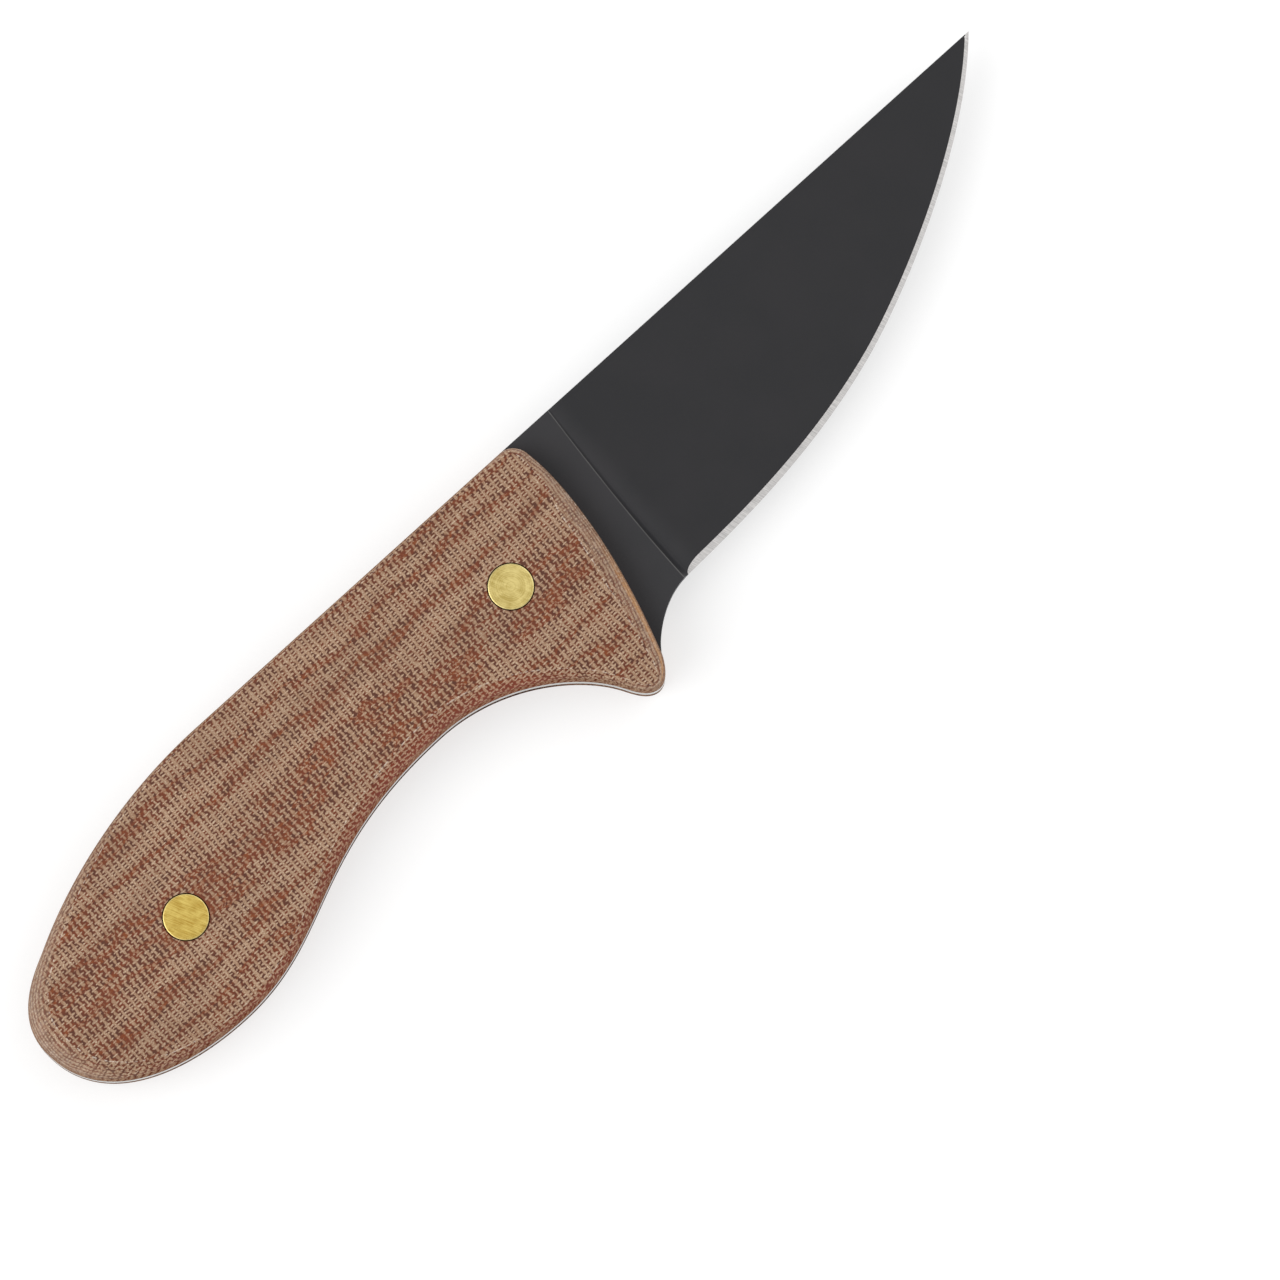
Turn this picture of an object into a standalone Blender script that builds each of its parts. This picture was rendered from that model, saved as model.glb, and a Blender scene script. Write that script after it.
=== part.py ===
"""Fixed-blade whittling knife: full-tang steel blade, two canvas-micarta scales, two flush brass bolts.

Drawing frame, in millimetres: the origin is the tip of the blade on the middle plane of the steel,
+X runs forward along the spine, +Y from the edge to the spine and +Z out of the knife's right side.
The knife lies on its left scale, so the drawing frame is lifted by half the knife's thickness, and
the world's origin is the middle of the knife's footprint.
"""

import math

import bmesh
import bpy
import numpy as np
from mathutils import Vector
from mathutils.geometry import interpolate_bezier

MM = 0.001
GAP = 0.3  # clearance left between pieces that touch on the real knife

# Driving dimensions, in millimetres
LENGTH = 187.2
DEPTH = 38.5  # from the straight spine to the lowest point of the guard
TANG_THICKNESS = 4.0
SCALE_THICKNESS = 6.35

SPINE_RELIEF = 0.25  # how far the grind lies below the tang's face at the spine
SHOULDER_HALF_THICKNESS = 0.33  # steel left where the edge bevel starts
EDGE_HALF_THICKNESS = 0.05
BEVEL_WIDTH_AT_HEEL = 1.05
BEVEL_WIDTH_AT_TIP = 0.5
PLUNGE_AT_SPINE = -77.6
PLUNGE_SWEEP = 1.5  # how far the plunge line leans back on its way to the heel
PLUNGE_WALL_LEAN = 0.6

BOLT_HEAD_DIAMETER = 6.35
BOLT_HEAD_LENGTH = 3.4
BARREL_DIAMETER = 4.76
THREAD_DIAMETER = 3.5
STUD_REACH = 8.4  # of the threaded stud below its head
BORE_REACH = 9.0  # of the tapped bore below the barrel's mouth
BOLTS = {"front": (-97.7, -14.8), "rear": (-160.75, -18.55)}

SCALE_EDGE_ROUNDING = 2.1
CROWN_FLAT = (-22.0, -12.5)  # the flat band along the middle of a scale's outer face
CROWN_FALL = 0.1  # slope of that face on either side of the band
CURVE_STEPS = 11
ROUND_STEPS = 40
BLADE_STATIONS = 34
GRIND_ROWS = 7
CUTTER_MARGIN = 3.0
SMOOTH_ANGLE = math.radians(35)

HALF_TANG = TANG_THICKNESS / 2
SCALE_INSIDE = HALF_TANG + GAP
SCALE_OUTSIDE = SCALE_INSIDE + SCALE_THICKNESS
DRAWING_ORIGIN = Vector((LENGTH / 2, DEPTH / 2, SCALE_OUTSIDE)) * MM


# --- Outlines -------------------------------------------------------------------------------------


def corner(x, y, heading_in, before, heading_out, after):
    """A knot as (handle before, point, handle after): headings in degrees from +X, reaches in mm."""
    point = Vector((x, y, 0))
    into = Vector((math.cos(math.radians(heading_in)), math.sin(math.radians(heading_in)), 0))
    out = Vector((math.cos(math.radians(heading_out)), math.sin(math.radians(heading_out)), 0))
    return point - before * into, point, point + after * out


def smooth(x, y, heading, before, after):
    """A knot that the outline passes without a corner."""
    return corner(x, y, heading, before, heading, after)


TIP = corner(0, 0, 48, 15.1, 180, 40)
HEEL = corner(-78.4, -29.45, 0, 4.8, 2, 9.9)
EDGE = [HEEL, smooth(-40, -23.9, 18, 15.1, 10.2), TIP]

# From the end of the straight spine round the butt and along the palm side to the guard
HANDLE = [
    smooth(-142.6, 0, 180, 40, 11.8),
    smooth(-178.2, -8.6, 208, 11.9, 2.2),
    smooth(-LENGTH, -18.8, 270, 6.5, 10.8),
    smooth(-163.9, -33.9, 0, 12, 16.5),
    smooth(-118, -23.2, 0, 24.8, 10.7),
    smooth(-95.6, -34.8, -59, 6.1, 1.6),
    smooth(-91.7, -DEPTH, 0, 2, 1.4),
]
GUARD_AT_CHOIL = smooth(-88.4, -35.3, 66, 1.6, 1.8)
GUARD_AT_SCALE = corner(-88.4, -35.3, 66, 1.6, 71, 9)

BLADE_OUTLINE = [TIP, *HANDLE, GUARD_AT_CHOIL, *EDGE[:-1]]
SCALE_OUTLINE = [
    *HANDLE,
    GUARD_AT_SCALE,
    smooth(-83.15, -8, 90, 9, 3),
    smooth(-83.6, -2.4, 98, 1.5, 1),
    smooth(-86.2, 0, 180, 1.4, 19),
]


# --- Modelling helpers ----------------------------------------------------------------------------


def clear_scene():
    for leftover in list(bpy.data.objects):
        bpy.data.objects.remove(leftover)


def new_collection(name):
    made = bpy.data.collections.new(name)
    bpy.context.scene.collection.children.link(made)
    return made


def new_object(name, mesh, home, x=0.0, y=0.0):
    """An object at x, y of the drawing frame, in the collection home."""
    made = bpy.data.objects.new(name, mesh)
    made.location = (x * MM, y * MM, 0)
    made.parent = FRAME
    home.objects.link(made)
    return made


def evaluated_mesh(guide):
    """The mesh that a curve or a modified object makes; the guide itself is removed."""
    bpy.context.scene.collection.objects.link(guide)
    evaluated = guide.evaluated_get(bpy.context.evaluated_depsgraph_get())
    mesh = bpy.data.meshes.new_from_object(evaluated)
    bpy.data.objects.remove(guide)
    return mesh


def shade_round(mesh):
    """Smooth shading that keeps the corners sharp."""
    mesh.shade_smooth()
    mesh.set_sharp_from_angle(angle=SMOOTH_ANGLE)


def outline_slab(knots, thickness):
    """A flat plate of the outline, centred on the middle plane, as a bmesh with one face on each side."""
    curve = bpy.data.curves.new("outline", "CURVE")
    curve.dimensions = "2D"
    curve.fill_mode = "BOTH"
    curve.extrude = thickness / 2 * MM
    curve.resolution_u = CURVE_STEPS
    spline = curve.splines.new("BEZIER")
    spline.use_cyclic_u = True
    spline.bezier_points.add(len(knots) - 1)
    for target, (before, point, after) in zip(spline.bezier_points, knots):
        target.handle_left = before * MM
        target.co = point * MM
        target.handle_right = after * MM

    slab = bmesh.new()
    slab.from_mesh(evaluated_mesh(bpy.data.objects.new("outline", curve)))
    bmesh.ops.remove_doubles(slab, verts=slab.verts, dist=0.01 * MM)
    bmesh.ops.dissolve_limit(slab, angle_limit=math.radians(0.05), verts=slab.verts, edges=slab.edges)
    return slab


def finish_mesh(name, work):
    """The bmesh as a mesh with its faces pointing out and its round sides shaded smooth."""
    bmesh.ops.recalc_face_normals(work, faces=work.faces)
    mesh = bpy.data.meshes.new(name)
    work.to_mesh(mesh)
    work.free()
    shade_round(mesh)
    return mesh


def turned_piece(name, profile, home, x, y):
    """A body of revolution about Z through x, y, from a profile of radius and height."""
    points = [(radius * MM, 0, height * MM) for radius, height in profile]
    mesh = bpy.data.meshes.new(name)
    mesh.from_pydata(points, [(i, i + 1) for i in range(len(points) - 1)], [])
    guide = bpy.data.objects.new("profile", mesh)
    screw = guide.modifiers.new("turn", "SCREW")
    screw.steps = ROUND_STEPS
    screw.render_steps = ROUND_STEPS
    screw.use_merge_vertices = True
    screw.merge_threshold = 0.001 * MM
    turned = evaluated_mesh(guide)
    turned.name = name
    shade_round(turned)
    return new_object(name, turned, home, x, y)


def cylinder_cutter(name, diameter, bottom, top, x, y):
    """A hidden cylinder along Z from bottom to top, for cutting a round hole."""
    body = bmesh.new()
    bmesh.ops.create_cone(
        body,
        cap_ends=True,
        segments=ROUND_STEPS,
        radius1=diameter / 2 * MM,
        radius2=diameter / 2 * MM,
        depth=(top - bottom) * MM,
    )
    bmesh.ops.translate(body, vec=(0, 0, (top + bottom) / 2 * MM), verts=body.verts)
    return hidden_cutter(new_object(name, finish_mesh(name, body), CUTTERS, x, y))


def crown_cutter(name, side, flat_edge, outward):
    """A hidden box that slopes a scale's outer face down from one edge of its flat band."""
    body = bmesh.new()
    bmesh.ops.create_cube(body, size=1)
    size = (2 * LENGTH, DEPTH, DEPTH)
    bmesh.ops.scale(body, vec=[width * MM for width in size], verts=body.verts)
    corner_to_origin = (0, outward * DEPTH / 2 * MM, side * DEPTH / 2 * MM)
    bmesh.ops.translate(body, vec=corner_to_origin, verts=body.verts)
    cutter = new_object(name, finish_mesh(name, body), CUTTERS, -LENGTH, flat_edge)
    cutter.location.z = side * SCALE_OUTSIDE * MM
    cutter.rotation_euler.x = -side * outward * math.atan(CROWN_FALL)
    return hidden_cutter(cutter)


def hidden_cutter(cutter):
    cutter.hide_render = True
    cutter.display_type = "WIRE"
    return cutter


def cut(piece, cutter):
    boolean = piece.modifiers.new("cut " + cutter.name, "BOOLEAN")
    boolean.operation = "DIFFERENCE"
    boolean.solver = "EXACT"
    boolean.object = cutter


def paint(piece, name, colour, metallic, roughness):
    material = bpy.data.materials.new(name)
    material.use_nodes = True
    shader = material.node_tree.nodes["Principled BSDF"]
    shader.inputs["Base Color"].default_value = (*colour, 1)
    shader.inputs["Metallic"].default_value = metallic
    shader.inputs["Roughness"].default_value = roughness
    material.diffuse_color = (*colour, 1)
    piece.data.materials.append(material)


# --- Blade ----------------------------------------------------------------------------------------


def edge_points():
    """The cutting edge from heel to tip, as rows of x and y."""
    points = []
    for start, end in zip(EDGE, EDGE[1:]):
        points += interpolate_bezier(start[1], start[2], end[0], end[1], 60)
    return np.array([point[:2] for point in points])


def bevel_shoulder(stations):
    """Heights of the edge and of the edge bevel's shoulder at these places along the blade."""
    path = edge_points()
    edge = np.interp(stations, path[:, 0], path[:, 1])
    slope = np.gradient(edge, stations)
    towards_tip = (stations - HEEL[1].x) / -HEEL[1].x
    width = BEVEL_WIDTH_AT_HEEL + (BEVEL_WIDTH_AT_TIP - BEVEL_WIDTH_AT_HEEL) * towards_tip
    return edge, edge + width * np.sqrt(1 + slope**2)


def plunge_line(y):
    """Where the grind starts at height y: a line that leans back towards the heel."""
    share = min(max(y / HEEL[1].y, 0), 1)
    return PLUNGE_AT_SPINE - PLUNGE_SWEEP * math.sin(share * math.pi / 2)


def grind_cutter(side):
    """The steel ground away on one side: a flat grind down to the shoulder, then the edge bevel."""
    first = PLUNGE_AT_SPINE + CUTTER_MARGIN / 2
    stations = np.linspace(first, CUTTER_MARGIN, BLADE_STATIONS)
    edges, shoulders = bevel_shoulder(stations)
    heel_shoulder = HEEL[1].y + BEVEL_WIDTH_AT_HEEL
    grind_slope = (HALF_TANG - SPINE_RELIEF - SHOULDER_HALF_THICKNESS) / -heel_shoulder
    bevel_fall = SHOULDER_HALF_THICKNESS - EDGE_HALF_THICKNESS
    lid = (HALF_TANG + CUTTER_MARGIN) * side

    def section(edge, shoulder):
        """The ground surface across the blade, from above the spine to below the edge."""
        rows = []
        for y in np.linspace(CUTTER_MARGIN, shoulder, GRIND_ROWS):
            rows.append((y, SHOULDER_HALF_THICKNESS + grind_slope * (y - shoulder)))
        past_edge = edge - (shoulder - edge)
        rows.append((past_edge, EDGE_HALF_THICKNESS - bevel_fall))
        return rows

    floor = [[(plunge_line(y), y, z * side) for y, z in section(HEEL[1].y, heel_shoulder)]]
    roof = [[(x - PLUNGE_WALL_LEAN, y, lid) for x, y, _ in floor[0]]]
    for x, edge, shoulder in zip(stations, edges, shoulders):
        floor.append([(x, y, z * side) for y, z in section(edge, shoulder)])
        roof.append([(x, y, lid) for _, y, _ in floor[-1]])

    name = "right_grind" if side > 0 else "left_grind"
    return hidden_cutter(new_object(name, finish_mesh(name, block_between(floor, roof)), CUTTERS))


def block_between(floor, roof):
    """A closed block between two grids of points, given as rows of the same length."""
    body = bmesh.new()
    low = [[body.verts.new(Vector(point) * MM) for point in row] for row in floor]
    high = [[body.verts.new(Vector(point) * MM) for point in row] for row in roof]
    for grid in (low, high):
        for row, following in zip(grid, grid[1:]):
            for k in range(len(row) - 1):
                body.faces.new((row[k], row[k + 1], following[k + 1], following[k]))
    for below, above in (
        (low[0], high[0]),
        (low[-1], high[-1]),
        ([row[0] for row in low], [row[0] for row in high]),
        ([row[-1] for row in low], [row[-1] for row in high]),
    ):
        for k in range(len(below) - 1):
            body.faces.new((below[k], below[k + 1], above[k + 1], above[k]))
    return body


def make_blade():
    """The steel: blade, ricasso, choil and full tang in one piece, bored for the two bolts."""
    slab = outline_slab(BLADE_OUTLINE, TANG_THICKNESS)
    blade = new_object("blade_and_tang", finish_mesh("blade_and_tang", slab), KNIFE)
    for side in (1, -1):
        cut(blade, grind_cutter(side))
    for place, (x, y) in BOLTS.items():
        bore = BARREL_DIAMETER + 2 * GAP
        through = HALF_TANG + CUTTER_MARGIN
        cut(blade, cylinder_cutter(place + "_tang_bore", bore, -through, through, x, y))
    paint(blade, "black_coated_steel", (0.038, 0.038, 0.041), 0.4, 0.5)


# --- Scales ---------------------------------------------------------------------------------------


def make_scale(name, side):
    """One handle slab: crowned, rounded at its outer rim and counterbored for each bolt."""
    slab = outline_slab(SCALE_OUTLINE, SCALE_THICKNESS)
    outer = side * SCALE_THICKNESS / 2 * MM
    rim = [
        edge
        for edge in slab.edges
        if all(abs(vert.co.z - outer) < 0.001 * MM for vert in edge.verts)
    ]
    bmesh.ops.bevel(
        slab,
        geom=rim,
        offset=SCALE_EDGE_ROUNDING * MM,
        segments=3,
        profile=0.5,
        affect="EDGES",
        clamp_overlap=True,
    )
    middle = side * (SCALE_INSIDE + SCALE_OUTSIDE) / 2 * MM
    bmesh.ops.translate(slab, vec=(0, 0, middle), verts=slab.verts)
    scale = new_object(name, finish_mesh(name, slab), KNIFE)

    for flat_edge, outward in zip(CROWN_FLAT, (-1, 1)):
        label = f"{name}_crown_{'spine' if outward > 0 else 'palm'}"
        cut(scale, crown_cutter(label, side, flat_edge, outward))
    ledge = SCALE_OUTSIDE - BOLT_HEAD_LENGTH - GAP
    for place, (x, y) in BOLTS.items():
        for use, diameter, near, far in (
            ("barrel_bore", BARREL_DIAMETER, SCALE_INSIDE - CUTTER_MARGIN, ledge + GAP),
            ("head_seat", BOLT_HEAD_DIAMETER, ledge, SCALE_OUTSIDE + CUTTER_MARGIN),
        ):
            bottom, top = sorted((side * near, side * far))
            label = f"{name}_{place}_{use}"
            cut(scale, cylinder_cutter(label, diameter + 2 * GAP, bottom, top, x, y))
    paint(scale, name + "_micarta", (0.27, 0.13, 0.07), 0.0, 0.62)


# --- Bolts ----------------------------------------------------------------------------------------


def make_bolt(place, x, y):
    """A two-part flush bolt: a head with a threaded stud, and a head with a tapped barrel."""
    head = BOLT_HEAD_DIAMETER / 2
    barrel = BARREL_DIAMETER / 2
    bore = THREAD_DIAMETER / 2
    stud = bore - GAP
    seat = SCALE_OUTSIDE - BOLT_HEAD_LENGTH
    mouth = seat - GAP
    stud_profile = [
        (0, SCALE_OUTSIDE),
        (head, SCALE_OUTSIDE),
        (head, seat),
        (stud, seat),
        (stud, seat - STUD_REACH),
        (0, seat - STUD_REACH),
    ]
    barrel_profile = [
        (0, mouth - BORE_REACH),
        (bore, mouth - BORE_REACH),
        (bore, mouth),
        (barrel, mouth),
        (barrel, -seat),
        (head, -seat),
        (head, -SCALE_OUTSIDE),
        (0, -SCALE_OUTSIDE),
    ]
    for name, profile in (("bolt_stud", stud_profile), ("bolt_barrel", barrel_profile)):
        piece = turned_piece(f"{place}_{name}", profile, KNIFE, x, y)
        paint(piece, f"{place}_{name}_brass", (0.60, 0.44, 0.15), 1.0, 0.35)


clear_scene()
KNIFE = new_collection("whittling_knife")
CUTTERS = new_collection("cutters")
FRAME = bpy.data.objects.new("drawing_frame", None)
FRAME.location = DRAWING_ORIGIN
KNIFE.objects.link(FRAME)

make_blade()
make_scale("right_scale", 1)
make_scale("left_scale", -1)
for place, (x, y) in BOLTS.items():
    make_bolt(place, x, y)
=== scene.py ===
"""Whittling knife: the visible steel, canvas-micarta scales and brass bolts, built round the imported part.

Shapes are drawn in millimetres in the drawing frame: its origin is the tip of the blade on the middle
plane of the steel, +X runs forward along the spine, +Y from the edge to the spine and +Z out of the
right side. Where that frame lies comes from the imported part's own box.
"""

import math

import bmesh
import bpy
import numpy as np
from mathutils import Matrix, Vector
from mathutils.geometry import delaunay_2d_cdt, interpolate_bezier

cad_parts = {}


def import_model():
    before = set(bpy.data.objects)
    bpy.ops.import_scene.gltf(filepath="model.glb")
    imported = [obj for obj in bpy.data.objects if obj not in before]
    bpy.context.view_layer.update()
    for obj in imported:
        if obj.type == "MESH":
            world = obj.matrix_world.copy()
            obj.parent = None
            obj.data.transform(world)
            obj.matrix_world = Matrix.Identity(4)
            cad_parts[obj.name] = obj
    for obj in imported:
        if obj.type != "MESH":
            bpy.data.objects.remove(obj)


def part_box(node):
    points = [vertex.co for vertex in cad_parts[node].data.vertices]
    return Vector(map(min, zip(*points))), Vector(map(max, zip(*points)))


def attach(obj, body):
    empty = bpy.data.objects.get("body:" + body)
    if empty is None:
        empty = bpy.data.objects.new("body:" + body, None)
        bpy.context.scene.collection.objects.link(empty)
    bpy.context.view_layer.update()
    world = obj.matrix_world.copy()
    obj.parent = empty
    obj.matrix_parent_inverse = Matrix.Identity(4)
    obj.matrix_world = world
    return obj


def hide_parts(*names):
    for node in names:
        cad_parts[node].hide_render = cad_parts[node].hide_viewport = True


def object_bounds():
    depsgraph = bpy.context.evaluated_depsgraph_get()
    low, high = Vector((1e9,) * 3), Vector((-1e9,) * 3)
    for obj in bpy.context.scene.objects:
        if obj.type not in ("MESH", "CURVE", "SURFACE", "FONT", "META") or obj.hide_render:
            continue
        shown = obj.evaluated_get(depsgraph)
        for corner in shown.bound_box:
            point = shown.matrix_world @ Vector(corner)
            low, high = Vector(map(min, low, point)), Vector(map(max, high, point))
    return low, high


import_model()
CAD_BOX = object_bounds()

MM = 0.001

# --- Sizes, in millimetres ------------------------------------------------------------------------

LENGTH = (CAD_BOX[1].x - CAD_BOX[0].x) / MM
DEPTH = (CAD_BOX[1].y - CAD_BOX[0].y) / MM
OUTSIDE = (CAD_BOX[1].z - CAD_BOX[0].z) / 2 / MM  # from the middle plane to a scale's outer face
ORIGIN = Vector((CAD_BOX[1].x, CAD_BOX[1].y, (CAD_BOX[0].z + CAD_BOX[1].z) / 2))

HALF_TANG = 2.0
GLUE_LINE = 0.08
SPINE_RELIEF = 0.25
SHOULDER_HALF_THICKNESS = 0.33
EDGE_HALF_THICKNESS = 0.05
BEVEL_WIDTH_AT_HEEL = 1.05
BEVEL_WIDTH_AT_TIP = 0.5
BEVEL_START = -78.3
BEVEL_RUN_IN = 2.9
EDGE_SLOPE = [(-78, 0.03), (-60, 0.11), (-40, 0.32), (-20, 0.65), (0, 1.11)]  # how the edge climbs, by x
PLUNGE_AT_SPINE = -77.6
PLUNGE_SWEEP = 1.5
PLUNGE_WIDTH_AT_SPINE = 0.4
PLUNGE_WIDTH_AT_HEEL = 1.0
PLUNGE_CREST = 0.1  # share of the plunge's width that rounds over from the ricasso
SPINE_BREAK = 0.14  # the corner taken off along the blade's spine
EDGE_BREAK = 0.1  # and off the rest of the steel's outline
TANG_SPINE_BREAK = 0.025
SCALES_END = -83.6
BARE_TO_AT_SPINE = -84.0  # the steel's outline is bare, not coated, behind these places
BARE_TO_AT_GUARD = -88.2

CROWN_MIDDLE = -17.25
CROWN_FLAT_HALF = 3.0
CROWN_BLEND = 1.2
CROWN_FALL = 0.1
ROUNDING_AT_CREASE = math.radians(25)  # slope of a scale's rounded rim where it starts
ROUNDING_AT_RIM = math.radians(58)
WALL_LEAN = {1: 0.052, -1: 0.005}  # how far in each scale's wall leans, for each mm of height

BOLT_RADIUS = 3.175
BARREL_RADIUS = 2.38
THREAD_RADIUS = 1.75
STUD_RADIUS = 1.45
BOLT_HEAD_LENGTH = 3.4
BOLT_CLEARANCE = 0.13
STUD_REACH = 8.4
BORE_REACH = 9.0
THREAD_PITCH = 0.5
THREAD_DEPTH = 0.17
GAP = 0.3
BOLT_NODES = {"front": "front_bolt_stud", "rear": "rear_bolt_stud"}

YARN_PITCH_X = 0.93  # between the yarns that run from edge to spine
YARN_PITCH_Y = 0.47  # between the yarns that run along the handle
LAYER_THICKNESS = 0.425
UPRIGHT_HALF_HEIGHT = 0.235  # of a yarn that runs from edge to spine
UPRIGHT_HALF_WIDTH = 0.23
UPRIGHT_SWING = 0.05  # how far it rises and falls as it passes over and under
LEVEL_HALF_HEIGHT = 0.15  # of a yarn that runs along the handle
LEVEL_HALF_WIDTH = 0.13
LEVEL_SWING = 0.14

# How finely the meshes are divided, in millimetres or in steps
STEEL_SPACING = 0.5
BUTT_SPAN = -165  # behind this the steel's columns follow the points of the spine's outline too
BUTT_END = 0.3  # so near the end of the butt every column is kept, however close
PLUNGE_SPAN = (-80.4, -76)  # round the plunge the columns of the steel are closer
PLUNGE_SPACING = 0.04
SWEPT_COLUMNS = (-86, -80.2, -76.2, -70)  # columns lean with its sweep, fully in the middle span
LEAST_SPACING = 0.035
STEEL_ROWS = 18
OUTLINE_SPACING = 0.42
FACE_SPACING = 0.85
WALL_RINGS = (0, 0.5, 0.94)  # heights of the rings on a scale's wall, as shares of the wall
RIM_STEPS = 9
PAST_CREASE = (0.1, 0.45)  # two more rings, this far in from the crease, keep it crisp
HOLE_SEGMENTS = 72
BOLT_SEGMENTS = 96


# --- Outlines -------------------------------------------------------------------------------------


def corner(x, y, heading_in, before, heading_out, after):
    """A knot as (handle before, point, handle after): headings in degrees from +X, reaches in mm."""
    point = Vector((x, y, 0))
    into = Vector((math.cos(math.radians(heading_in)), math.sin(math.radians(heading_in)), 0))
    out = Vector((math.cos(math.radians(heading_out)), math.sin(math.radians(heading_out)), 0))
    return point - before * into, point, point + after * out


def smooth(x, y, heading, before, after):
    """A knot that the outline passes without a corner."""
    return corner(x, y, heading, before, heading, after)


TIP = corner(0, 0, 48, 15.1, 180, 40)
HEEL = corner(-78.4, -29.45, 0, 4.8, 2, 9.9)
EDGE = [HEEL, smooth(-40, -23.9, 18, 15.1, 10.2), TIP]
HANDLE = [
    smooth(-142.6, 0, 180, 40, 11.8),
    smooth(-178.2, -8.6, 208, 11.9, 2.2),
    smooth(-LENGTH, -18.8, 270, 6.5, 10.8),
    smooth(-163.9, -33.9, 0, 12, 16.5),
    smooth(-118, -23.2, 0, 24.8, 10.7),
    smooth(-95.6, -34.8, -59, 6.1, 1.6),
    smooth(-91.7, -DEPTH, 0, 2, 1.4),
]
GUARD_AT_CHOIL = smooth(-88.4, -35.3, 66, 1.6, 1.8)
GUARD_AT_SCALE = corner(-88.4, -35.3, 66, 1.6, 71, 9)
SCALE_OUTLINE = [
    *HANDLE,
    GUARD_AT_SCALE,
    smooth(-83.15, -8, 90, 9, 3),
    smooth(-83.6, -2.4, 98, 1.5, 1),
    smooth(-86.2, 0, 180, 1.4, 19),
]

# How far in from its outline a scale is rounded, at points on that outline
ROUNDING = [
    (-142, 0, 0.35),
    (-158, -1.2, 0.6),
    (-170, -4.6, 1.2),
    (-178.2, -8.6, 1.7),
    (-184, -13, 2.7),
    (-187.2, -18.8, 3.2),
    (-183, -28.5, 2.3),
    (-175, -32.3, 1.3),
    (-163.9, -33.9, 0.8),
    (-150, -31, 1.0),
    (-132, -25, 1.9),
    (-118, -23.2, 2.5),
    (-106, -26, 1.8),
    (-95.6, -34.8, 0.8),
    (-91.7, -38.5, 0.45),
    (-88.4, -35.3, 1.4),
    (-86, -30, 2.1),
    (-84.3, -24, 2.6),
    (-83.2, -12, 2.6),
    (-83.15, -7, 1.3),
    (-83.6, -2.4, 1.0),
    (-86.2, 0, 0.5),
    (-95, 0, 0.35),
]

# How the rim and wall are finished, by x: 1 is pale from buffing, which at the butt is partly painted light
# where the rim faces the lamp, and -1 is red with resin taken up
WALL_SHARE = 0.6  # how much of that finish the wall below the rim has
PALM_BUFFING_AND_LIGHT = [(-187, 0.9), (-183, 0.4), (-177, -0.5), (-160, -1), (-104, -1), (-97, 0), (-92, 0.75)]
SPINE_BUFFING_AND_LIGHT = [(-187, 0.9), (-178, 0.7), (-150, 0.3), (-140, -0.3), (-95, -0.3), (-87, 0.75)]
HIGHLIGHT_FROM = -90  # in front of this the rim gets a painted highlight line, by y
FRONT_HIGHLIGHT = [(-22, 0), (-14, 1)]
AMBER_FROM = -91  # and in front of this it is amber where the resin is thin, by y
FRONT_AMBER = [(-26, 0.6), (-17, 0)]


def sampled(knots, spacing, closed):
    """The curve through the knots as points about spacing apart, with one on each knot."""
    points = []
    following = [*knots[1:], knots[0]] if closed else knots[1:]
    for start, end in zip(knots, following):
        fine = np.array(interpolate_bezier(start[1], start[2], end[0], end[1], 160))[:, :2]
        steps = np.linalg.norm(np.diff(fine, axis=0), axis=1)
        along = np.concatenate(([0], np.cumsum(steps)))
        count = max(1, round(along[-1] / spacing))
        wanted = np.linspace(0, along[-1], count, endpoint=False)
        points.append(np.column_stack([np.interp(wanted, along, fine[:, k]) for k in (0, 1)]))
    if not closed:
        points.append(np.array([knots[-1][1][:2]]))
    return np.vstack(points)


# --- Modelling helpers ----------------------------------------------------------------------------


def world(points):
    """Drawing-frame points, in mm, as places in the world."""
    return [ORIGIN + Vector(point) * MM for point in points]


def add_piece(name, mesh, materials, nodes):
    """The mesh as a visible piece that stands for these CAD nodes."""
    for material in materials:
        mesh.materials.append(material)
    piece = bpy.data.objects.new(name, mesh)
    bpy.context.scene.collection.objects.link(piece)
    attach(piece, "root")
    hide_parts(*nodes)
    return piece


def closed_mesh(name, points, faces, sharp_angle):
    """A mesh of these points and faces, facing out, shaded smooth but for its sharp corners."""
    mesh = bpy.data.meshes.new(name)
    mesh.from_pydata(world(points), [], faces)
    work = bmesh.new()
    work.from_mesh(mesh)
    bmesh.ops.recalc_face_normals(work, faces=work.faces)
    work.to_mesh(mesh)
    work.free()
    mesh.shade_smooth()
    mesh.set_sharp_from_angle(angle=math.radians(sharp_angle))
    return mesh


def plain(faces):
    """Faces as tuples of Python's own whole numbers, which Blender asks for."""
    return [tuple(int(number) for number in face) for face in faces]


def strip(first, second, closed):
    """Quads between two rows of vertex numbers."""
    count = len(first) if closed else len(first) - 1
    quads = []
    for k in range(count):
        following = (k + 1) % len(first)
        quads.append((first[k], first[following], second[following], second[k]))
    return quads


# --- Blade and tang -------------------------------------------------------------------------------


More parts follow.
